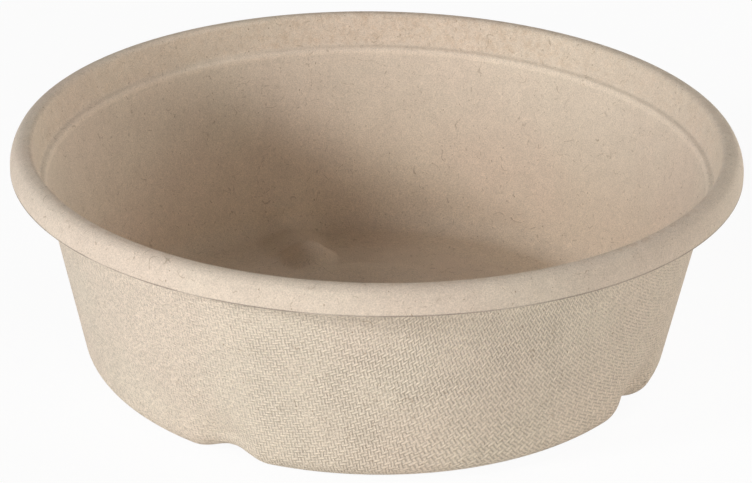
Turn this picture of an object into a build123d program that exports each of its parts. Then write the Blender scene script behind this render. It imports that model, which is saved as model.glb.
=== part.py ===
from build123d import *
import math
import os

# Round moulded-fibre dish: one thin shell with a rolled rim, a lid ledge, a drafted wall,
# a rounded base corner, a standing foot, a stepped floor and three stacking lugs.
#
# The shell is pressed in one piece.  Each zone of it is its own solid in its own node,
# and neighbouring zones meet face to face.  Millimetres, +Z up, origin at the centre of
# the standing face.  Lug bearings are degrees from the front (-Y), turning towards +X.

os.makedirs("parts", exist_ok=True)

# ---- driving dimensions -------------------------------------------------------------
wall_t = 0.8            # shell thickness
rim_d = 185.0           # across the outside of the rolled rim
height = 59.7           # standing face to the crest of the rim

base_d = 147.8          # outside of the wall, run down to the standing face
rim_overhang = 8.0      # how far the lip stands out from the wall, level with the ledge
heel_r = 7.7            # rounding between the wall and the foot, outside

lip_drop = 6.3          # crest of the rim down to the lip's edge
lip_band = 2.6          # lip's edge up to the corner where the roll starts to lean
roll_lean = 1.9         # how far the roll leans inwards above that corner
roll_w = 5.5            # width of the roll, from the lip's outside to the neck's top
band_r = 6.0            # rounding of that corner; below it the lip is upright for a lid
crest_out_r = 2.8       # rounding of the crest, outer side
crest_in_r = 1.5        # rounding of the crest, inner side

ledge_drop = 8.7        # crest of the rim down to the ledge
ledge_w = 1.5           # tread of the ledge
ledge_root_r = 0.6      # rounding where the tread meets the neck above it
ledge_nose_r = 1.0      # rounding where the tread turns down into the wall

foot_w = 10.7           # flat width of the foot
step_h = 1.2            # foot up to the floor around it
step_w = 1.0            # run of that step
step_r = 1.2            # roundings of that step
floor_w = 15.94         # from the foot's inner edge in to the flat centre panel
panel_h = 0.8           # floor up to the centre panel
ramp_w = 5.0            # run of the slope around the panel
ramp_r = 6.0            # roundings of that slope

lug_bearings = (-28.7, 62.5, 199.0)
lug_w = 9.6             # width of a lug's ridge, inside the dish
lug_h = 7.6             # top of the ridge above the standing face
lug_back = 23.3         # nose centre of a ridge, measured in from the wall's base corner
lug_flare = 9.4         # start of the flare, measured in from the same corner
lug_mouth_w = 27.0      # width of the flared end
lug_mouth_h = 8.2       # height of the flared end
lug_over = 3.0          # how far the flared end runs out past the base corner

# ---- derived sizes ------------------------------------------------------------------
rim_r = rim_d / 2
base_r = base_d / 2
lip_z = height - lip_drop
ledge_z = height - ledge_drop
floor_z = wall_t + step_h
panel_z = floor_z + panel_h
mouth_r = rim_r - rim_overhang                    # outside of the wall, at the ledge
draft = (mouth_r - base_r) / ledge_z              # wall's outward run for each mm of rise
skin = wall_t * math.hypot(1, draft)              # the wall's thickness, measured level
under_ledge = ledge_z - 2 * wall_t                # where the wall ends and the ledge starts
below = -wall_t                                   # a level clear below the standing face


def wall_in(z):
    """Radius of the wall's inner face at a height."""
    return base_r + draft * z - skin


half_corner = (math.pi / 2 - math.atan(draft)) / 2
heel_run = heel_r * math.tan(half_corner)         # corner to where its rounding ends
foot_out_r = base_r - heel_run
foot_in_r = foot_out_r - foot_w
panel_r = foot_in_r - floor_w                     # flat centre panel
heel_z = heel_run / math.hypot(1, draft)          # where the rounding runs into the wall


# ---- the shell, as one thin section turned about the axis ----------------------------
def upper_face():
    """Corners of the shell's upper face from the lip to the axis, and their roundings."""
    points = [
        (rim_r, lip_z),
        (rim_r, lip_z + lip_band),
        (rim_r - roll_lean, height),
        (rim_r - roll_w, height),
        (wall_in(ledge_z) + ledge_w, ledge_z),
        (wall_in(ledge_z), ledge_z),
        (wall_in(wall_t), wall_t),
        (foot_in_r, wall_t),
        (foot_in_r - step_w, floor_z),
        (panel_r + ramp_w, floor_z),
        (panel_r, panel_z),
        (0, panel_z),
    ]
    roundings = [band_r, crest_out_r, crest_in_r, ledge_root_r, ledge_nose_r]
    roundings += [heel_r - wall_t, step_r, step_r, ramp_r, ramp_r]
    return [Vector(*point) for point in points], roundings


def under_face(points, roundings):
    """The same for the face one shell thickness behind, on the left of the way along."""
    ways = [(end - start).normalized() for start, end in zip(points, points[1:])]
    sides = [way.rotate(Axis.Z, 90) for way in ways]
    behind = [points[0] + sides[0] * wall_t]
    radii = []
    for point, side, way, next_side, radius in zip(
        points[1:], sides, ways[1:], sides[1:], roundings
    ):
        behind.append(point + (side + next_side) * (wall_t / (1 + side.dot(next_side))))
        turns_left = side.dot(way) > 0
        radii.append(radius - wall_t if turns_left else radius + wall_t)
    behind.append(points[-1] + sides[-1] * wall_t)
    return behind, radii


def shell_section():
    """Section of the whole shell, from the lip's edge to the axis."""
    upper, upper_radii = upper_face()
    under, under_radii = under_face(upper, upper_radii)
    outline = [
        FilletPolyline(*upper, radius=upper_radii),
        Line(upper[-1], under[-1]),
        FilletPolyline(*under, radius=under_radii),
        Line(under[0], upper[0]),
    ]
    return make_face([edge for line in outline for edge in line.edges()])


section = shell_section()


def band(r_in, r_out, z_low, z_high):
    """The shell's share inside a window of radius and height, turned full circle."""
    middle = Pos((r_in + r_out) / 2, (z_low + z_high) / 2)
    window = middle * Rectangle(r_out - r_in, z_high - z_low)
    return revolve(Plane.XZ * (section & window), Axis.Z)


def dish_block():
    """The room inside the shell's outer face, up to the ledge."""
    outline = FilletPolyline((0, 0), (base_r, 0), (mouth_r, ledge_z), radius=heel_r)
    closing = Polyline((mouth_r, ledge_z), (0, ledge_z), (0, 0))
    return revolve(Plane.XZ * make_face([*outline.edges(), *closing.edges()]), Axis.Z)


# ---- stacking lugs: half-round ridges inside, open channels outside ------------------
def lug_form(bearing, inset):
    """Ridge with a round nose, flaring out through the corner; inset gives its hollow."""
    half_w = lug_w / 2 - inset
    top = lug_h - inset
    nose_x = base_r - lug_back
    flare_x = base_r - lug_flare
    end_x = base_r + lug_over

    def arch(x, a, b):
        return Plane.YZ.offset(x) * Ellipse(a, b)

    edge = EllipticalCenterArc((0, 0), half_w, top, start_angle=-90, arc_size=180)
    half_oval = make_face([*Line((0, -top), (0, top)).edges(), *edge.edges()])
    nose = Pos(nose_x, 0, 0) * revolve(Plane.XZ * half_oval, Axis.Z)
    ridge = extrude(arch(nose_x, half_w, top), flare_x - nose_x)
    mouth_arch = arch(end_x, lug_mouth_w / 2 - inset, lug_mouth_h - inset)
    mouth = loft([arch(flare_x, half_w, top), mouth_arch], ruled=True)
    return Rot(0, 0, bearing - 90) * (nose + ridge + mouth)


lug_outsides = [lug_form(bearing, 0) for bearing in lug_bearings]
lug_hollows = [lug_form(bearing, wall_t) for bearing in lug_bearings]


# ---- the zones of the shell -----------------------------------------------------------
nodes = {
    "rolled_rim": band(0, rim_d, lip_z - wall_t, rim_d),
    "lid_ledge": band(0, rim_d, under_ledge, lip_z - wall_t),
    "side_wall": band(0, rim_d, heel_z, under_ledge),
    "base_corner": band(foot_out_r, rim_d, below, heel_z),
    "foot_ring": band(foot_in_r, foot_out_r, below, heel_z),
    "floor_ring": band(panel_r, foot_in_r, below, heel_z),
    "centre_panel": band(0, panel_r, below, heel_z),
}
for name in ("side_wall", "base_corner", "foot_ring", "floor_ring"):
    for form in lug_outsides:
        nodes[name] = nodes[name] - form

block = dish_block()
for number, (form, hollow) in enumerate(zip(lug_outsides, lug_hollows), start=1):
    nodes[f"stacking_lug_{number}"] = (form & block) - hollow

for name, shape in nodes.items():
    export_step(shape, f"parts/{name}.step")
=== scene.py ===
import math

import bmesh
import bpy
from bpy.props import (
    FloatProperty,
    FloatVectorProperty,
    PointerProperty,
)
from mathutils import Matrix, Vector


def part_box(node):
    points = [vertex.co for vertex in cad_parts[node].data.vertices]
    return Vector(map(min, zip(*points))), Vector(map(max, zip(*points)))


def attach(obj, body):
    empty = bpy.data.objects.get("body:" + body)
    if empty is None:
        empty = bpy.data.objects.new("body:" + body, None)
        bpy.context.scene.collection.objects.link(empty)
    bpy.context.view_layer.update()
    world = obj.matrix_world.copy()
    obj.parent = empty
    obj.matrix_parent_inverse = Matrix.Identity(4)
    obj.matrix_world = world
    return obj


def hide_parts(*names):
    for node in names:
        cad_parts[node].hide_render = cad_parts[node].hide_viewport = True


bl_info = {
    "name": "Moulded-Fibre Dish",
    "version": (1, 0, 0),
    "blender": (4, 5, 0),
    "location": "3D View > Sidebar > Dish",
    "description": "Dresses a round moulded-fibre dish: its shell zone by zone, its stacking "
                   "lugs, its fibre finish and a studio",
    "category": "Object",
}

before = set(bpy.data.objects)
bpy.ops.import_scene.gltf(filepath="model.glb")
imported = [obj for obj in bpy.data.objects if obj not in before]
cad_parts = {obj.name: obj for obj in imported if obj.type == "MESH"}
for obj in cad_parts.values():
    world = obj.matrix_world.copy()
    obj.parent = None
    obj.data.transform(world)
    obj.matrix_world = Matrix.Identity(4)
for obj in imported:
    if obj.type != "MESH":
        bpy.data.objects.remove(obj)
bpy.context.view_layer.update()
RIM_LOW, RIM_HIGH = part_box("rolled_rim")

MM = 0.001
RIM_RADIUS = (RIM_HIGH[0] - RIM_LOW[0]) / 2
HEIGHT = RIM_HIGH[2]

# Bearings of the stacking lugs, in degrees from the front (-Y), turning towards +X.
LUG_BEARINGS = (-28.7, 59.8, 201.0)
LUG_SECTOR = 15.0            # half the angle of the patch of shell that carries a lug
LUG_COLUMN = 0.25            # angle between mesh columns inside that patch
OPEN_COLUMN = 0.75           # and between the patches
LUG_ROW = 0.8 * MM           # longest step between mesh rows near the lugs
OPEN_ROW = 8.0 * MM          # and elsewhere
LUG_ROW_TOP = 12.0 * MM      # height up to which rows are close together
PATCH_RADIUS = 44.9 * MM     # where a lug's patch of shell starts, in from its nose
DENT_TOP = 17.0 * MM         # height at which a lug's groove runs out
SHARES = 8                   # each stretch of the turn is laid in this many equal shares
SHEET = "upper_sheet"        # name under which the sheet is kept
SHARP = math.radians(50)     # edges that turn further than this are shaded sharp

# Zones of the shell in the order of the way from the lip to the axis.
ZONES = ("rolled_rim", "lid_ledge", "side_wall", "base_corner",
         "foot_ring", "floor_ring", "centre_panel")
SMOOTH_ZONES = (0, 1)        # those that the smooth tool finished
LUG_ZONES = (3, 4, 5)        # those that the lugs interrupt
FIRST_FLAT_ZONE = 3          # zones before it end at a height, and from it at a radius


# ---- settings -------------------------------------------------------------------------------
class ShellSettings(bpy.types.PropertyGroup):
    """Sizes of the pressed shell."""

    wall: FloatProperty(
        name="Wall", description="Thickness of the pressed shell",
        default=0.8 * MM, unit="LENGTH")
    base_radius: FloatProperty(
        name="Base radius", description="Outside of the wall, run down to the standing face",
        default=73.9 * MM, unit="LENGTH")
    rim_overhang: FloatProperty(
        name="Rim overhang", description="How far the lip stands out from the wall, at the ledge",
        default=8.0 * MM, unit="LENGTH")
    heel_radius: FloatProperty(
        name="Heel radius", description="Rounding between the wall and the foot, outside",
        default=7.7 * MM, unit="LENGTH")
    lip_drop: FloatProperty(
        name="Lip drop", description="Crest of the rim down to the lip's edge",
        default=6.3 * MM, unit="LENGTH")
    lip_band: FloatProperty(
        name="Lip band", description="Lip's edge up to where the roll starts to lean",
        default=2.6 * MM, unit="LENGTH")
    roll_lean: FloatProperty(
        name="Roll lean", description="How far the roll leans inwards above the band",
        default=1.9 * MM, unit="LENGTH")
    roll_width: FloatProperty(
        name="Roll width", description="From the lip's outside to the neck's top",
        default=5.5 * MM, unit="LENGTH")
    ledge_drop: FloatProperty(
        name="Ledge drop", description="Crest of the rim down to the ledge",
        default=8.7 * MM, unit="LENGTH")
    ledge_width: FloatProperty(
        name="Ledge width", description="Tread of the ledge a lid sits on",
        default=1.5 * MM, unit="LENGTH")
    ledge_fall: FloatProperty(
        name="Ledge fall", description="How much the ledge falls towards the inside",
        default=0.7 * MM, unit="LENGTH")
    foot_width: FloatProperty(
        name="Foot width", description="Flat width of the standing foot",
        default=10.7 * MM, unit="LENGTH")
    step_height: FloatProperty(
        name="Step height", description="Foot up to the floor around it",
        default=1.2 * MM, unit="LENGTH")
    panel_radius: FloatProperty(
        name="Panel radius", description="Flat centre panel",
        default=41.0 * MM, unit="LENGTH")
    panel_height: FloatProperty(
        name="Panel height", description="Floor up to the centre panel",
        default=0.8 * MM, unit="LENGTH")


class LugSettings(bpy.types.PropertyGroup):
    """Sizes of the stacking lugs."""

    dome: FloatProperty(
        name="Dome", description="Top of the round nose of a lug above the standing face",
        default=7.0 * MM, unit="LENGTH")
    nose: FloatProperty(
        name="Nose", description="Radius at which the dome stands",
        default=51.6 * MM, unit="LENGTH")
    ball: FloatProperty(
        name="Ball", description="Radius of the dome's round top",
        default=4.5 * MM, unit="LENGTH")
    dent: FloatProperty(
        name="Dent", description="How deep the lug's groove is pressed into the foot and the heel",
        default=2.6 * MM, unit="LENGTH")
    dent_width: FloatProperty(
        name="Dent width", description="Half the width of the groove at the heel",
        default=10.5 * MM, unit="LENGTH")
    blend: FloatProperty(
        name="Blend", description="Softness of the fillet between the dome and the floor",
        default=3.6 * MM, unit="LENGTH")


class FinishSettings(bpy.types.PropertyGroup):
    """Colours and marks of the fibre."""

    fibre_colour: FloatVectorProperty(
        name="Smooth side", description="Unbleached pulp where the smooth tool pressed it",
        subtype="COLOR", size=3, min=0, max=1, default=(0.765, 0.638, 0.505))
    screen_colour: FloatVectorProperty(
        name="Screen side", description="Unbleached pulp where it lay on the forming screen",
        subtype="COLOR", size=3, min=0, max=1, default=(0.70, 0.615, 0.505))
    fleck_colour: FloatVectorProperty(
        name="Fleck", description="Dark flecks and hairs in the pulp",
        subtype="COLOR", size=3, min=0, max=1, default=(0.23, 0.14, 0.07))
    # Painted shade colour: multiplied in towards the top of the smooth side, it greys the lit
    # upper inside, so that lower down, where shade falls, the pulp keeps a deeper, more saturated
    # tone.
    upper_tint: FloatVectorProperty(
        name="Upper tint", description="Tint of the smooth side towards the top",
        subtype="COLOR", size=3, min=0, max=1, default=(0.94, 0.97, 1.0))
    rim_tint: FloatVectorProperty(
        name="Rim tint", description="Further tint of the rim",
        subtype="COLOR", size=3, min=0, max=1, default=(0.90, 0.905, 0.915))
    worn_tint: FloatVectorProperty(
        name="Worn tint", description="Tint of the rubbed patches in the neck",
        subtype="COLOR", size=3, min=0, max=1, default=(0.96, 0.90, 0.84))
    blush: FloatVectorProperty(
        name="Blush", description="Tint of the faint warmer patches of the pulp",
        subtype="COLOR", size=3, min=0, max=1, default=(1.0, 0.975, 0.98))
    roughness: FloatProperty(
        name="Roughness", description="Roughness of the dry fibre",
        default=0.78, min=0, max=1, subtype="FACTOR")
    screen_relief: FloatProperty(
        name="Screen relief", description="Depth of the forming screen's marks",
        default=0.28 * MM, unit="LENGTH")


class StudioSettings(bpy.types.PropertyGroup):
    """Floor, lamps and camera."""

    floor_colour: FloatVectorProperty(
        name="Floor", description="Plain pale floor",
        subtype="COLOR", size=3, min=0, max=1, default=(0.9, 0.9, 0.9))
    key_power: FloatProperty(
        name="Key lamp", description="Power of the main soft lamp, front left",
        default=9.6, min=0, unit="POWER")
    low_power: FloatProperty(
        name="Low lamp", description="Power of the soft lamp low down, front left",
        default=5.4, min=0, unit="POWER")
    fill_power: FloatProperty(
        name="Fill lamp", description="Power of the soft lamp, front right",
        default=2.8, min=0, unit="POWER")
    back_power: FloatProperty(
        name="Back lamp", description="Power of the soft lamp, back right",
        default=3.7, min=0, unit="POWER")
    top_power: FloatProperty(
        name="Top lamp", description="Power of the soft lamp high up, back right",
        default=2.5, min=0, unit="POWER")
    sky_level: FloatProperty(
        name="Sky level", description="Brightness of the faint light all round",
        default=0.022, min=0)
    lens: FloatProperty(
        name="Lens", description="Focal length of the camera, in millimetres",
        default=137.51, min=1, unit="CAMERA")


def settings():
    return bpy.context.scene.dish


# ---- the shell's shape ----------------------------------------------------------------------
def profile(shell):
    """The upper face from the lip to the axis, and the corners that end each zone.

    Each corner has its radius, its height, its rounding and the steps of that rounding.
    """
    t = shell.wall
    lip_z = HEIGHT - shell.lip_drop
    ledge_z = HEIGHT - shell.ledge_drop
    mouth_r = RIM_RADIUS - shell.rim_overhang
    draft = (mouth_r - shell.base_radius) / ledge_z
    skin = t * math.hypot(1, draft)

    def wall_in(z):
        return shell.base_radius + draft * z - skin

    neck_r = RIM_RADIUS - shell.roll_width
    tread_r = wall_in(ledge_z) + shell.ledge_width
    neck_z = lip_z - t
    neck_share = (neck_z - ledge_z) / (HEIGHT - ledge_z)
    wall_z = ledge_z - 2 * t
    heel_seam_z = 8.2 * MM
    step_run = 1.0 * MM
    ramp_run = 5.0 * MM
    half_corner = (math.pi / 2 - math.atan(draft)) / 2
    foot_out_r = shell.base_radius - shell.heel_radius * math.tan(half_corner)
    foot_in_r = foot_out_r - shell.foot_width
    floor_z = t + shell.step_height
    panel_z = floor_z + shell.panel_height
    seam = 0.9 * MM
    rows = [
        (RIM_RADIUS, lip_z, 0, 0),                                        # lip
        (RIM_RADIUS, lip_z + shell.lip_band, 6.0 * MM, 6),                # top of the band
        (RIM_RADIUS - shell.roll_lean, HEIGHT, 2.8 * MM, 9),              # crest, outside
        (neck_r, HEIGHT, 1.5 * MM, 7),                                    # crest, inside
        (tread_r + (neck_r - tread_r) * neck_share, neck_z, 0, 0),        # end of the rim
        (tread_r, ledge_z + shell.ledge_fall / 2, 1.0 * MM, 5),           # root of the ledge
        (wall_in(ledge_z), ledge_z - shell.ledge_fall / 2, 1.3 * MM, 6),  # nose of the ledge
        (wall_in(wall_z), wall_z, 0, 0),                                  # end of the ledge
        (wall_in(heel_seam_z), heel_seam_z, 0, 0),                        # end of the wall
        (wall_in(t), t, shell.heel_radius - t, 16),                       # heel
        (foot_out_r - seam, t, 0, 0),                                     # end of the heel
        (foot_in_r + seam, t, 0, 0),                                      # end of the foot
        (foot_in_r, t, 0.7 * MM, 4),                                      # step, bottom
        (foot_in_r - step_run, floor_z, 0.6 * MM, 4),                     # step, top
        (shell.panel_radius + ramp_run, floor_z, 6.0 * MM, 4),            # floor's slope, bottom
        (shell.panel_radius, panel_z, 6.0 * MM, 4),                       # floor's slope, top
        (shell.panel_radius - seam, panel_z, 0, 0),                       # end of the floor
        (0, panel_z, 0, 0),                                               # axis
    ]
    zone_ends = (4, 7, 8, 10, 11, 16)
    return rows, [rows[i][:2] for i in zone_ends]


def turn_angle(before, here, after):
    """How far the outline turns at a corner."""
    arriving = Vector(here[:2]) - Vector(before[:2])
    leaving = Vector(after[:2]) - Vector(here[:2])
    return arriving.angle(leaving)


def rounded_wire(bm, rows):
    """The outline as a wire in the plane of bearing zero, its corners rounded."""
    verts = [bm.verts.new((0, -r, z)) for r, z, _, _ in rows]
    for start, end in zip(verts, verts[1:]):
        bm.edges.new((start, end))
    for i in range(1, len(rows) - 1):
        radius, steps = rows[i][2:]
        if radius:
            reach = radius * math.tan(turn_angle(rows[i - 1], rows[i], rows[i + 1]) / 2)
            bmesh.ops.bevel(
                bm, geom=[verts[i]], offset=reach, offset_type="OFFSET", segments=steps,
                profile=0.5, affect="VERTICES", material=-1)


def split_long_edges(bm):
    """Rows close together where the lugs are pressed, and further apart elsewhere."""
    for edge in list(bm.edges):
        middle = (edge.verts[0].co + edge.verts[1].co) / 2
        near_lug = middle.z < LUG_ROW_TOP and -middle.y > PATCH_RADIUS - 1 * MM
        cuts = math.ceil(edge.calc_length() / (LUG_ROW if near_lug else OPEN_ROW)) - 1
        if cuts > 0:
            bmesh.ops.subdivide_edges(bm, edges=[edge], cuts=cuts)


def zone_of(radius, z, ends):
    """Number of the zone that a place on the upper face belongs to."""
    for number, (end_radius, end_z) in enumerate(ends):
        before = z > end_z if number < FIRST_FLAT_ZONE else radius > end_radius
        if before:
            return number
    return len(ends)


def bearing_of(point):
    """Bearing of a place, in degrees from the front."""
    return math.degrees(math.atan2(point.x, -point.y))


def turned_from(bearing, centre):
    """Signed angle from one bearing to another, the short way."""
    return (bearing - centre + 180) % 360 - 180


def stretches():
    """Each stretch of the full turn: its start, its angle and its mesh columns."""
    bearings = sorted(turned_from(b, 0) for b in LUG_BEARINGS)
    plan = []
    for here, following in zip(bearings, [*bearings[1:], bearings[0] + 360]):
        gap = following - here - 2 * LUG_SECTOR
        for start, angle, column in ((here - LUG_SECTOR, 2 * LUG_SECTOR, LUG_COLUMN),
                                     (here + LUG_SECTOR, gap, OPEN_COLUMN)):
            plan.append((start, angle, round(angle / column / SHARES) * SHARES))
    return plan


def verts_of(geometry):
    """The vertices among a list of mesh elements."""
    return [g for g in geometry if isinstance(g, bmesh.types.BMVert)]


def sweep(bm):
    """Turns the wire about the axis, stretch by stretch."""
    wire = bm.verts[:] + bm.edges[:]
    for start, angle, columns in stretches():
        share = bmesh.ops.duplicate(bm, geom=wire)["geom"]
        bmesh.ops.rotate(
            bm, verts=verts_of(share), cent=(0, 0, 0),
            matrix=Matrix.Rotation(math.radians(start), 3, "Z"))
        known = set(bm.verts)
        bmesh.ops.spin(
            bm, geom=share, cent=(0, 0, 0), axis=(0, 0, 1),
            angle=math.radians(angle / SHARES), steps=columns // SHARES)
        made = [v for v in bm.verts if v not in known]
        made += verts_of(share)
        faces = {f for v in made for f in v.link_faces}
        edges = {e for f in faces for e in f.edges}
        bmesh.ops.spin(
            bm, geom=[*made, *edges, *faces], cent=(0, 0, 0), axis=(0, 0, 1),
            angle=math.radians(angle * (SHARES - 1) / SHARES), steps=SHARES - 1,
            use_duplicate=True)
    bmesh.ops.delete(bm, geom=verts_of(wire), context="VERTS")
    bmesh.ops.remove_doubles(bm, verts=bm.verts, dist=0.002 * MM)


def soft_step(value):
    """Smooth rise from 0 to 1."""
    value = min(max(value, 0), 1)
    return value * value * (3 - 2 * value)


def dome_height(lug, along, across):
    """Height of a lug's round dome over a place, below the floor where there is none."""
    away = math.hypot(along - lug.nose, across)
    return lug.dome - away * away / (2 * lug.ball)


def dent_depth(lug, along, across, z):
    """Depth of a lug's groove, which runs out from the dome and up over the heel."""
    outwards = soft_step((along - lug.nose) / (12 * MM))
    sideways = soft_step((lug.dent_width - abs(across)) / (0.95 * lug.dent_width))
    upwards = soft_step((DENT_TOP - z) / (9 * MM))
    return lug.dent * outwards * sideways * upwards


def soft_max(a, b, blend):
    """The higher of two heights, with a fillet between them."""
    near = max(blend - abs(a - b), 0)
    return max(a, b) + near * near / (4 * blend)


def raise_lugs(bm, lug):
    """Presses the three lugs up out of the floor and the heel."""
    reach = 12 * MM
    bm.normal_update()
    for vert in bm.verts:
        if vert.co.z > DENT_TOP:
            continue
        for bearing in LUG_BEARINGS:
            angle = math.radians(bearing)
            out = Vector((math.sin(angle), -math.cos(angle), 0))
            along = vert.co.dot(out)
            across = vert.co.dot(Vector((math.cos(angle), math.sin(angle), 0)))
            if along < lug.nose - reach or abs(across) > 1.5 * lug.dent_width:
                continue
            vert.co += vert.normal * dent_depth(lug, along, across, vert.co.z)
            vert.co.z = soft_max(vert.co.z, dome_height(lug, along, across), lug.blend)


def upper_sheet():
    """The upper face, kept after the first time."""
    bm = bmesh.new()
    kept = bpy.data.meshes.get(SHEET)
    if kept is None:
        made = make_sheet()
        kept = bpy.data.meshes.new(SHEET)
        made.to_mesh(kept)
        made.free()
    bm.from_mesh(kept)
    return bm


def measure_run(bm, run):
    """Writes on each vertex of the wire how far along it lies from the lip."""
    vert = max(bm.verts, key=lambda v: (-v.co.y, -v.co.z))
    edge, length = None, 0.0
    while True:
        vert[run] = length
        ahead = [e for e in vert.link_edges if e != edge]
        if not ahead:
            break
        edge = ahead[0]
        length += edge.calc_length()
        vert = edge.other_vert(vert)


def make_sheet():
    """The whole upper face as one open sheet, each face marked with its zone."""
    cfg = settings()
    rows, ends = profile(cfg.shell)
    bm = bmesh.new()
    run = bm.verts.layers.float.new("run")
    outward = bm.verts.layers.float_vector.new("outward")
    zone = bm.faces.layers.int.new("zone")
    patch = bm.faces.layers.int.new("patch")
    rounded_wire(bm, rows)
    split_long_edges(bm)
    measure_run(bm, run)
    sweep(bm)
    bmesh.ops.recalc_face_normals(bm, faces=bm.faces)
    lowest = min(bm.faces, key=lambda f: f.calc_center_median().xy.length)
    if lowest.normal.z < 0:
        bmesh.ops.reverse_faces(bm, faces=bm.faces)
    for face in bm.faces:
        centre = face.calc_center_median()
        face[zone] = zone_of(centre.xy.length, centre.z, ends)
        here = bearing_of(centre)
        for number, bearing in enumerate(LUG_BEARINGS, start=1):
            inside = abs(turned_from(here, bearing)) < LUG_SECTOR
            if inside and face[zone] in LUG_ZONES and centre.xy.length > PATCH_RADIUS:
                face[patch] = number
    raise_lugs(bm, cfg.lug)
    bm.normal_update()
    for vert in bm.verts:
        vert[outward] = vert.normal
    return bm


# ---- finishing a piece ----------------------------------------------------------------------
SCREEN_RADIUS = 80.0 * MM     # mean radius of the wall, which the screen is wrapped round
SCREEN_THREADS = (            # slope at the start, bearing there, turn each side of it, spacing
    (math.radians(30), 0.0, 1.20, 1.20, 0.76 * MM),
    (math.radians(101), math.radians(5), 0.2, 1.05, 0.80 * MM),
)
WALL_MIDDLE = 34.0 * MM       # run from the lip at which those slopes hold
FLAT_SCREEN = 67.0 * MM       # radius inside which the screen lies flat under the base


def screen_phase(bearing, rise, thread):
    """Count of screen threads crossed on the way to a place of the wall."""
    slope, start, turn_left, turn_right, spacing = thread
    away = bearing - start
    turn = turn_right if away > 0 else turn_left
    here = slope + turn * away
    level = (math.cos(slope) - math.cos(here)) / turn
    return (SCREEN_RADIUS * level - rise * math.cos(here)) / spacing


def lay_screen(bm):
    """UV map whose two directions count the threads of the forming screen.

    Round the wall the threads turn with the bearing; under the base the screen lies flat,
    one family of threads steep and the other nearly across.
    """
    run = bm.verts.layers.float["run"]
    uv = bm.loops.layers.uv.new("screen")
    for face in bm.faces:
        if not face.material_index:
            continue
        centre = face.calc_center_median()
        middle = bearing_of(centre)
        flat = centre.xy.length < FLAT_SCREEN
        for loop in face.loops:
            place = loop.vert.co
            if flat:
                loop[uv].uv = (
                    (place.x + 2 * place.y) / 2.24 / SCREEN_THREADS[0][-1],
                    (place.y * 0.3 - place.x) / SCREEN_THREADS[1][-1])
                continue
            bearing = math.radians(middle + turned_from(bearing_of(place), middle))
            rise = WALL_MIDDLE - loop.vert[run]
            loop[uv].uv = [screen_phase(bearing, rise, t) for t in SCREEN_THREADS]


def give_thickness(bm, wall):
    """Closes the open sheet with an under face one wall behind it."""
    outward = bm.verts.layers.float_vector["outward"]
    made = bmesh.ops.extrude_face_region(bm, geom=bm.faces[:], use_keep_orig=True)["geom"]
    for vert in verts_of(made):
        vert.co -= vert[outward] * wall
    for face in made:
        if isinstance(face, bmesh.types.BMFace):
            face.material_index = 1


def shell_piece(sheet, name, wanted, materials):
    """One zone of the shell as a closed piece that stands for its CAD node."""
    bm = sheet.copy()
    zone = bm.faces.layers.int["zone"]
    patch = bm.faces.layers.int["patch"]
    drop = [f for f in bm.faces if not wanted(f[zone], f[patch])]
    bmesh.ops.delete(bm, geom=drop, context="FACES")
    for face in bm.faces:
        face.smooth = True
    give_thickness(bm, settings().shell.wall)
    bmesh.ops.recalc_face_normals(bm, faces=bm.faces)
    lay_screen(bm)
    for edge in bm.edges:
        if len(edge.link_faces) == 2:
            edge.smooth = edge.calc_face_angle(0) < SHARP
    mesh = bpy.data.meshes.new(name)
    bm.to_mesh(mesh)
    bm.free()
    for material in materials:
        mesh.materials.append(material)
    piece = bpy.data.objects.new(name, mesh)
    bpy.context.scene.collection.objects.link(piece)
    return piece


# ---- fibre finish ---------------------------------------------------------------------------
class Nodes:
    """Shorthand for building a node tree."""

    def __init__(self, tree):
        self.tree = tree

    def add(self, kind, *inputs, out=0, **values):
        """One node with its first inputs fed in order."""
        node = self.tree.nodes.new(kind)
        for key, value in values.items():
            setattr(node, key, value)
        for socket, value in zip(node.inputs, inputs):
            self.feed(socket, value)
        return node.outputs[out]

    def feed(self, socket, value):
        """Links an output to a socket, or sets the socket to a constant."""
        if isinstance(value, bpy.types.NodeSocket):
            self.tree.links.new(value, socket)
        elif value is not None:
            socket.default_value = value

    def math(self, operation, *inputs):
        return self.add("ShaderNodeMath", *inputs, operation=operation)

    def vector(self, operation, *inputs, out=0):
        return self.add("ShaderNodeVectorMath", *inputs, operation=operation, out=out)

    def product(self, *factors):
        """All the factors multiplied together."""
        result = factors[0]
        for factor in factors[1:]:
            result = self.math("MULTIPLY", result, factor)
        return result

    def off_centre(self, value, centre):
        """Distance of a value from a centre, either way."""
        return self.math("ABSOLUTE", self.math("SUBTRACT", value, centre))

    def scaled(self, vector, factor):
        node = self.tree.nodes.new("ShaderNodeVectorMath")
        node.operation = "SCALE"
        self.feed(node.inputs[0], vector)
        self.feed(node.inputs[3], factor)
        return node.outputs[0]

    def split(self, vector):
        node = self.tree.nodes.new("ShaderNodeSeparateXYZ")
        self.feed(node.inputs[0], vector)
        return node.outputs

    def noise(self, place, scale, detail=2.0, roughness=0.5):
        node = self.tree.nodes.new("ShaderNodeTexNoise")
        self.feed(node.inputs["Vector"], place)
        self.feed(node.inputs["Scale"], scale)
        self.feed(node.inputs["Detail"], detail)
        self.feed(node.inputs["Roughness"], roughness)
        return node.outputs["Fac"]

    def ramp(self, value, low, high, to_low=0.0, to_high=1.0):
        """Smooth passage of a value from one range to another."""
        node = self.tree.nodes.new("ShaderNodeMapRange")
        node.interpolation_type = "SMOOTHSTEP"
        for name, number in (("Value", value), ("From Min", low), ("From Max", high),
                             ("To Min", to_low), ("To Max", to_high)):
            self.feed(node.inputs[name], number)
        return node.outputs[0]

    def mix(self, share, a, b, blend="MIX"):
        node = self.tree.nodes.new("ShaderNodeMix")
        node.data_type = "RGBA"
        node.blend_type = blend
        self.feed(node.inputs[0], share)
        self.feed(node.inputs[6], a)
        self.feed(node.inputs[7], b)
        return node.outputs[2]


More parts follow.
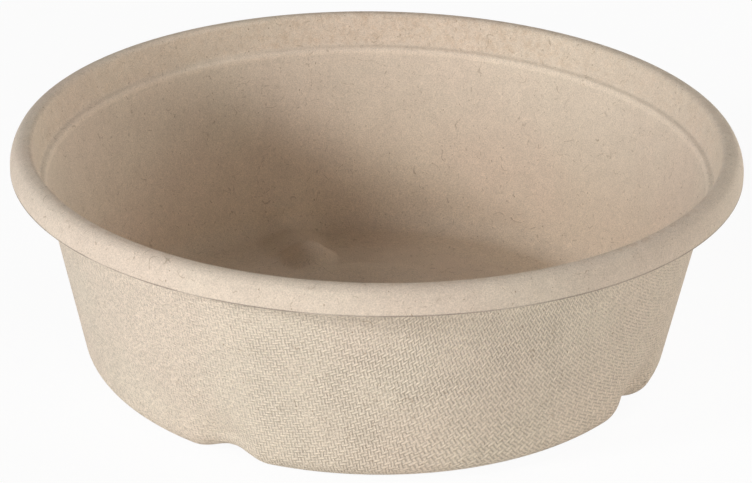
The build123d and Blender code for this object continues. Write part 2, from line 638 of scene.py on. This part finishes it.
def hairs(n, place, spread, width, length, share):
    """Fine curved fibres: thin level lines of a noise, broken up by a second one."""
    line = n.ramp(n.off_centre(n.noise(place, 1 / spread, 1.0, 0.4), 0.5), 0.0, width, 1.0, 0.0)
    breaks = n.noise(n.vector("ADD", place, (0.31, 0.17, 0.23)), 1 / length, 1.0, 0.5)
    return n.math("MULTIPLY", line, n.ramp(breaks, share, share + 0.03))


def flecks(n, place, cell, size, squeeze):
    """Small dark specks, drawn out one way."""
    turned = n.tree.nodes.new("ShaderNodeMapping")
    n.feed(turned.inputs["Vector"], place)
    turned.inputs["Scale"].default_value = squeeze
    turned.inputs["Rotation"].default_value = (0.5, 0.7, 0.4)
    cells = n.tree.nodes.new("ShaderNodeTexVoronoi")
    n.feed(cells.inputs["Vector"], turned.outputs[0])
    n.feed(cells.inputs["Scale"], 1 / cell)
    near = n.ramp(cells.outputs["Distance"], size / cell * 0.5, size / cell, 1.0, 0.0)
    pick = n.tree.nodes.new("ShaderNodeSeparateColor")
    n.feed(pick.inputs[0], cells.outputs["Color"])
    return n.math("MULTIPLY", near, n.ramp(pick.outputs[0], 0.35, 0.9, 0.15, 1.0))


def fibre_tree(name):
    """A principled material and the place every pattern of it reads."""
    material = bpy.data.materials.new(name)
    material.use_nodes = True
    tree = material.node_tree
    shader = tree.nodes["Principled BSDF"]
    shader.inputs["Roughness"].default_value = settings().finish.roughness
    shader.inputs["Specular IOR Level"].default_value = 0.25
    coordinates = tree.nodes.new("ShaderNodeTexCoord")
    return material, shader, Nodes(tree), coordinates.outputs["Object"]


SHORT_HAIRS = (               # where each layer's noise is read, and how dark the layer is
    ((0.5, 0.1, 0.7), 0.40),
    ((0.2, 0.8, 0.3), 0.34),
    ((0.9, 0.4, 0.1), 0.30),
)


def pulp(n, place, bare):
    """Colour and height of bare pulp: patches, grain, pale fibres, dark flecks and hairs."""
    finish = settings().finish
    patches = n.ramp(n.noise(place, 26, 3.0), 0.35, 0.65)
    clouds = n.ramp(n.noise(place, 160, 4.0, 0.6), 0.3, 0.7)
    grain = n.noise(place, 3000, 3.0, 0.7)
    warm = [level * tint for level, tint in zip(bare, finish.blush)]
    colour = n.mix(patches, (*bare, 1), (*warm, 1))
    pale = hairs(n, place, 3.0 * MM, 0.02, 3.0 * MM, 0.5)
    shade = n.product(
        n.ramp(clouds, 0, 1, 0.975, 1.02),
        n.ramp(grain, 0.33, 0.67, 0.84, 1.09),
        n.ramp(n.noise(place, 700, 3.0, 0.6), 0.35, 0.65, 0.975, 1.015),
        n.ramp(pale, 0, 1, 1.0, 1.07))
    colour = n.scaled(colour, shade)
    dark = n.math("MULTIPLY", hairs(n, place, 10.0 * MM, 0.0065, 4.0 * MM, 0.61), 0.42)
    for offset, strength in SHORT_HAIRS:
        short = hairs(n, n.vector("ADD", place, offset), 9.0 * MM, 0.0072, 1.1 * MM, 0.585)
        dark = n.math("MAXIMUM", dark, n.math("MULTIPLY", short, strength))
    upright = flecks(n, place, 1.9 * MM, 0.20 * MM, (1.0, 1.0, 0.5))
    lying = flecks(n, place, 1.6 * MM, 0.16 * MM, (0.5, 1.0, 1.0))
    specks = n.math("MULTIPLY", n.math("MAXIMUM", upright, lying), 0.62)
    colour = n.mix(n.math("MAXIMUM", dark, specks), colour, (*finish.fleck_colour, 1))
    relief = n.math("MULTIPLY_ADD", clouds, 0.035 * MM, n.math("MULTIPLY", grain, 0.10 * MM))
    relief = n.math("MULTIPLY_ADD", pale, 0.015 * MM, relief)
    return colour, relief


def wandering(n, place, scale, size):
    """A small wandering offset, which bends the threads."""
    node = n.tree.nodes.new("ShaderNodeTexNoise")
    n.feed(node.inputs["Vector"], place)
    n.feed(node.inputs["Scale"], scale)
    n.feed(node.inputs["Detail"], 1.0)
    centred = n.vector("SUBTRACT", node.outputs["Color"], (0.5, 0.5, 0.5))
    return n.scaled(centred, size * 2)


def raise_surface(n, shader, height):
    """Bumps the shading by a height in metres."""
    bump = n.tree.nodes.new("ShaderNodeBump")
    bump.inputs["Strength"].default_value = 1.0
    bump.inputs["Distance"].default_value = 1.0
    n.feed(bump.inputs["Height"], height)
    n.tree.links.new(bump.outputs[0], shader.inputs["Normal"])


def smooth_pulp():
    """The face pressed by the smooth tool: inside, rim and lip, with a painted shadow along the
    foot of the lip and a painted highlight along the ledge.
    """
    material, shader, n, place = fibre_tree("smooth_pulp")
    finish, shell = settings().finish, settings().shell
    lip_z, ledge_z = HEIGHT - shell.lip_drop, HEIGHT - shell.ledge_drop
    colour, relief = pulp(n, place, finish.fibre_colour)
    x, y, z = n.split(place)
    radius = n.math("SQRT", n.math("ADD", n.math("MULTIPLY", x, x), n.math("MULTIPLY", y, y)))
    # Painted shadow: darkens the lowest half millimetre of the lip's outer face, a thin dark line
    # where shade falls under the lip, broken up by noise.
    edge = n.product(
        n.ramp(z, lip_z + 0.15 * MM, lip_z + 0.55 * MM, 1.0, 0.0),
        n.math("GREATER_THAN", radius, RIM_RADIUS - 1.0 * MM),
        n.ramp(n.noise(place, 55, 2.0), 0.35, 0.65, 0.55, 1.0))
    worn = n.product(
        n.ramp(n.noise(place, 480, 5.0, 0.8), 0.40, 0.70),
        n.ramp(z, ledge_z, ledge_z + 0.8 * MM),
        n.ramp(radius, RIM_RADIUS - 4.0 * MM, RIM_RADIUS - 2.5 * MM, 1.0, 0.15),
        n.ramp(n.noise(place, 14, 1.0), 0.4, 0.6, 0.45, 1.0))
    # Painted highlight: a band round the nose of the ledge is lightened, where the ledge catches
    # the light.
    ledge_highlight = n.product(
        n.ramp(n.off_centre(z, ledge_z - 0.9 * MM), 0.2 * MM, 1.3 * MM, 1.0, 0.0),
        n.math("LESS_THAN", radius, RIM_RADIUS - 5.0 * MM))
    roll = n.product(
        n.ramp(z, 0.78 * HEIGHT, 0.90 * HEIGHT),
        n.ramp(radius, RIM_RADIUS - 4.5 * MM, RIM_RADIUS - 1.5 * MM))
    # Painted shade colour: the first tint greys the smooth side towards the top and leaves the
    # shaded lower inside deeper in tone. The rim and the worn neck are tinted after it.
    for share, tint in ((n.ramp(z, 0.2 * HEIGHT, 0.75 * HEIGHT), finish.upper_tint),
                        (roll, finish.rim_tint), (worn, finish.worn_tint)):
        colour = n.mix(share, colour, (*tint, 1), "MULTIPLY")
    # Shade factors: painted shadow under the lip, darker worn patches in the neck, painted
    # highlight along the ledge.
    shade = n.product(
        n.ramp(edge, 0, 1, 1.0, 0.5), n.ramp(worn, 0, 1, 1.0, 0.93),
        n.ramp(ledge_highlight, 0, 1, 1.0, 1.10))
    n.feed(shader.inputs["Base Color"], n.scaled(colour, shade))
    raise_surface(n, shader, relief)
    return material


def screen_marks(n, place):
    """Imprint of the forming screen, whose threads go over two and under two.

    Four rows make a repeat, moved along by 0, 1, 3 and 2 threads, which breaks the twill into
    short herringbones. In each row a lying bar two threads long alternates with two upright
    ones.
    """
    threads = n.tree.nodes.new("ShaderNodeUVMap")
    threads.uv_map = "screen"
    wander = wandering(n, place, 420, 0.22)
    a, b, _ = n.split(n.vector("ADD", threads.outputs[0], wander))
    row, column = n.math("FLOOR", a), n.math("FLOOR", b)
    across = n.off_centre(n.math("FRACT", a), 0.5)
    beside = n.off_centre(n.math("FRACT", b), 0.5)
    turn = n.math("FLOORED_MODULO", row, 4.0)
    late = n.math("GREATER_THAN", turn, 1.5)
    even = n.math("LESS_THAN", n.math("FLOORED_MODULO", row, 2.0), 0.5)
    step = n.math("MULTIPLY", late, n.math("SUBTRACT", n.math("MULTIPLY", even, 2.0), 1.0))
    shift = n.math("ADD", turn, step)
    order = n.math("FLOORED_MODULO", n.math("ADD", column, shift), 4.0)
    level = n.math("LESS_THAN", order, 1.5)
    place_on = n.math("FLOORED_MODULO", n.math("ADD", b, shift), 4.0)
    end = n.off_centre(place_on, 1.0)
    lying = n.product(n.ramp(across, 0.16, 0.5, 1.0, 0.2), n.ramp(end, 0.65, 1.0, 1.0, 0.5))
    upright = n.product(
        n.ramp(beside, 0.12, 0.46, 0.85, 0.0), n.ramp(across, 0.25, 0.5, 1.0, 0.75))
    woven = n.tree.nodes.new("ShaderNodeMix")
    n.feed(woven.inputs[0], level)
    n.feed(woven.inputs[2], upright)
    n.feed(woven.inputs[3], lying)
    chance = n.tree.nodes.new("ShaderNodeTexWhiteNoise")
    chance.noise_dimensions = "2D"
    cell = n.tree.nodes.new("ShaderNodeCombineXYZ")
    n.feed(cell.inputs[0], row)
    n.feed(cell.inputs[1], column)
    n.feed(chance.inputs["Vector"], cell.outputs[0])
    return n.math("MULTIPLY", woven.outputs[0], n.ramp(chance.outputs["Value"], 0, 1, 0.75, 1.0))


def screened_pulp():
    """The face formed against the woven screen: the outside of the wall and the underside."""
    material, shader, n, place = fibre_tree("screened_pulp")
    finish = settings().finish
    colour, relief = pulp(n, place, finish.screen_colour)
    marks = screen_marks(n, place)
    x = n.split(place)[0]
    faint = n.math("ADD", n.ramp(x, 40 * MM, 76 * MM, 0.0, 0.35),
                   n.ramp(x, -15 * MM, -65 * MM, 0.0, 0.55))
    faint = n.math("ADD", faint, n.ramp(n.noise(place, 90, 3.0), 0.35, 0.65, 0.35, 0.0))
    faint = n.math("MINIMUM", faint, 0.75)
    felt = n.ramp(n.noise(place, 1500, 3.0, 0.6), 0.35, 0.65, 0.25, 0.85)
    marks = n.math("ADD", marks, n.math("MULTIPLY", faint, n.math("SUBTRACT", felt, marks)))
    # Painted shade: the colour is darkened in the screen's pits, on top of their bump, and raised
    # a little on the bars.
    n.feed(shader.inputs["Base Color"], n.scaled(colour, n.ramp(marks, 0, 0.75, 0.76, 1.09)))
    raise_surface(n, shader, n.math("MULTIPLY_ADD", marks, finish.screen_relief, relief))
    return material


# ---- operators ------------------------------------------------------------------------------
def the_materials():
    """Smooth and screen-marked fibre, made once."""
    made = bpy.data.materials
    smooth = made.get("smooth_pulp") or smooth_pulp()
    screen = made.get("screened_pulp") or screened_pulp()
    return smooth, screen


def register_piece(piece, node):
    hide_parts(node)
    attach(piece, "root")


class DISH_OT_rim(bpy.types.Operator):
    """Rolled rim and the lid ledge inside it"""

    bl_idname = "dish.rim"
    bl_label = "Rim and Lid Ledge"

    def execute(self, context):
        smooth, screen = the_materials()
        sheet = upper_sheet()
        for number in SMOOTH_ZONES:
            under = smooth if number == 0 else screen
            piece = shell_piece(
                sheet, ZONES[number] + "_fibre", lambda z, p: z == number, (smooth, under))
            register_piece(piece, ZONES[number])
        sheet.free()
        return {"FINISHED"}


class DISH_OT_shell(bpy.types.Operator):
    """Wall, base corner, foot, floor and centre panel"""

    bl_idname = "dish.shell"
    bl_label = "Wall and Base"

    def execute(self, context):
        sheet = upper_sheet()
        for number in range(len(SMOOTH_ZONES), len(ZONES)):
            piece = shell_piece(
                sheet, ZONES[number] + "_fibre", lambda z, p: z == number and p == 0,
                the_materials())
            register_piece(piece, ZONES[number])
        sheet.free()
        return {"FINISHED"}


class DISH_OT_lugs(bpy.types.Operator):
    """Three stacking lugs"""

    bl_idname = "dish.lugs"
    bl_label = "Stacking Lugs"

    def execute(self, context):
        sheet = upper_sheet()
        for number in range(1, len(LUG_BEARINGS) + 1):
            node = f"stacking_lug_{number}"
            piece = shell_piece(
                sheet, node + "_fibre", lambda z, p: p == number, the_materials())
            register_piece(piece, node)
        sheet.free()
        return {"FINISHED"}


def glow_for_camera(n, surface, share):
    """Shows the camera, gloss and glass a share of plain white in place of the surface."""
    path = n.tree.nodes.new("ShaderNodeLightPath")
    seen = n.math("MAXIMUM", path.outputs["Is Camera Ray"], path.outputs["Is Glossy Ray"])
    seen = n.math("MAXIMUM", seen, path.outputs["Is Transmission Ray"])
    glow = n.add("ShaderNodeEmission", (1, 1, 1, 1), 1.0)
    return n.add("ShaderNodeMixShader", n.math("MULTIPLY", seen, share), surface, glow)


def pale_floor(scene, colour):
    """A round floor that looks white to the camera and still takes the dish's shadow."""
    bm = bmesh.new()
    bmesh.ops.create_circle(bm, cap_ends=True, radius=3.0, segments=96)
    mesh = bpy.data.meshes.new("studio_floor")
    bm.to_mesh(mesh)
    bm.free()
    floor = bpy.data.objects.new("studio_floor", mesh)
    scene.collection.objects.link(floor)
    paint = bpy.data.materials.new("floor_paint")
    paint.use_nodes = True
    tree = paint.node_tree
    shader = tree.nodes["Principled BSDF"]
    shader.inputs["Base Color"].default_value = (*colour, 1)
    shader.inputs["Roughness"].default_value = 0.9
    shader.inputs["Specular IOR Level"].default_value = 0.0
    shown = glow_for_camera(Nodes(tree), shader.outputs[0], 0.94)
    tree.links.new(shown, tree.nodes["Material Output"].inputs[0])
    mesh.materials.append(paint)


def white_surround(scene, level):
    """A faint warm sky, which the camera sees as plain white."""
    world = bpy.data.worlds.new("studio")
    scene.world = world
    world.use_nodes = True
    tree = world.node_tree
    sky = tree.nodes["Background"]
    sky.inputs[0].default_value = (1.0, 0.87, 0.72, 1)
    sky.inputs[1].default_value = level
    shown = glow_for_camera(Nodes(tree), sky.outputs[0], 1.0)
    tree.links.new(shown, tree.nodes["World Output"].inputs[0])


WHITE, WARM = (1.0, 1.0, 1.0), (1.0, 0.95, 0.88)
LAMPS = (                     # name, side, colour, bearing and elevation in degrees, distance
    ("key", 0.27, WHITE, -59, 24, 1.3),
    ("low", 0.3, WHITE, -30, 11, 1.3),
    ("fill", 0.5, WARM, 30, 15, 0.95),
    ("back", 0.5, WARM, 112, 12, 0.95),
    ("top", 0.6, WHITE, 135, 42, 1.2),
)


def hang_lamp(scene, name, power, size, colour, bearing, elevation, distance):
    """A square lamp that faces the dish from a bearing and an elevation."""
    data = bpy.data.lights.new(name, "AREA")
    data.energy = power
    data.size = size
    data.color = colour
    lamp = bpy.data.objects.new(name, data)
    a, e = math.radians(bearing), math.radians(elevation)
    out = Vector((math.sin(a) * math.cos(e), -math.cos(a) * math.cos(e), math.sin(e)))
    lamp.location = out * distance + Vector((0, 0, HEIGHT / 2))
    lamp.rotation_euler = out.to_track_quat("Z", "Y").to_euler()
    scene.collection.objects.link(lamp)


def add_camera(scene, lens):
    """Stands the camera in front of the dish and above it, tipped a little to its left."""
    data = bpy.data.cameras.new("camera")
    data.sensor_width = 36
    data.lens = lens
    data.clip_start = 0.01
    camera = bpy.data.objects.new("camera", data)
    scene.collection.objects.link(camera)
    scene.camera = camera
    elevation, pitch, roll = 0.4335, 0.4313, 0.0136
    distance, level = 8.0005 * RIM_RADIUS, 0.3 * RIM_RADIUS
    where = Vector((0.00004, -distance * math.cos(elevation),
                    level + distance * math.sin(elevation)))
    ahead = Vector((0, math.cos(pitch), -math.sin(pitch)))
    right = Vector((1, 0, 0))
    up = right.cross(ahead)
    tipped = right * math.cos(roll) + up * math.sin(roll)
    over = tipped.cross(ahead)
    turn = Matrix((tipped, over, -ahead)).transposed()
    camera.matrix_world = Matrix.Translation(where) @ turn.to_4x4()


class DISH_OT_studio(bpy.types.Operator):
    """Plain pale floor, soft lamps, white surround and camera"""

    bl_idname = "dish.studio"
    bl_label = "Studio"

    def execute(self, context):
        scene = context.scene
        cfg = settings().studio
        pale_floor(scene, cfg.floor_colour)
        white_surround(scene, cfg.sky_level)
        for name, *placing in LAMPS:
            hang_lamp(scene, name + "_lamp", getattr(cfg, name + "_power"), *placing)
        add_camera(scene, cfg.lens)
        scene.view_settings.view_transform = "Standard"
        return {"FINISHED"}


# ---- panel and registration -----------------------------------------------------------------
class DishSettings(bpy.types.PropertyGroup):
    """Everything a user would change."""

    shell: PointerProperty(type=ShellSettings, name="Shell", description="Sizes of the shell")
    lug: PointerProperty(type=LugSettings, name="Lugs", description="Sizes of the lugs")
    finish: PointerProperty(type=FinishSettings, name="Finish", description="Fibre finish")
    studio: PointerProperty(
        type=StudioSettings, name="Studio", description="Floor, lamps and camera")


OPERATORS = (DISH_OT_rim, DISH_OT_shell, DISH_OT_lugs, DISH_OT_studio)


class DISH_PT_panel(bpy.types.Panel):
    """The dish's settings and the steps that build it"""

    bl_idname = "DISH_PT_panel"
    bl_label = "Moulded-Fibre Dish"
    bl_space_type = "VIEW_3D"
    bl_region_type = "UI"
    bl_category = "Dish"

    def draw(self, context):
        cfg = settings()
        for title, group in (("Shell", cfg.shell), ("Lugs", cfg.lug),
                             ("Finish", cfg.finish), ("Studio", cfg.studio)):
            box = self.layout.box()
            box.label(text=title)
            for name in group.__annotations__:
                box.prop(group, name)
        for operator in OPERATORS:
            self.layout.operator(operator.bl_idname)


CLASSES = (ShellSettings, LugSettings, FinishSettings, StudioSettings, DishSettings,
           *OPERATORS, DISH_PT_panel)


def register():
    for cls in CLASSES:
        bpy.utils.register_class(cls)
    bpy.types.Scene.dish = PointerProperty(type=DishSettings)


def unregister():
    del bpy.types.Scene.dish
    for cls in reversed(CLASSES):
        bpy.utils.unregister_class(cls)


def main():
    """Builds the dish and the studio."""
    register()
    bpy.ops.dish.rim()
    bpy.ops.dish.shell()
    bpy.ops.dish.lugs()
    bpy.ops.dish.studio()


if __name__ == "__main__":
    main()
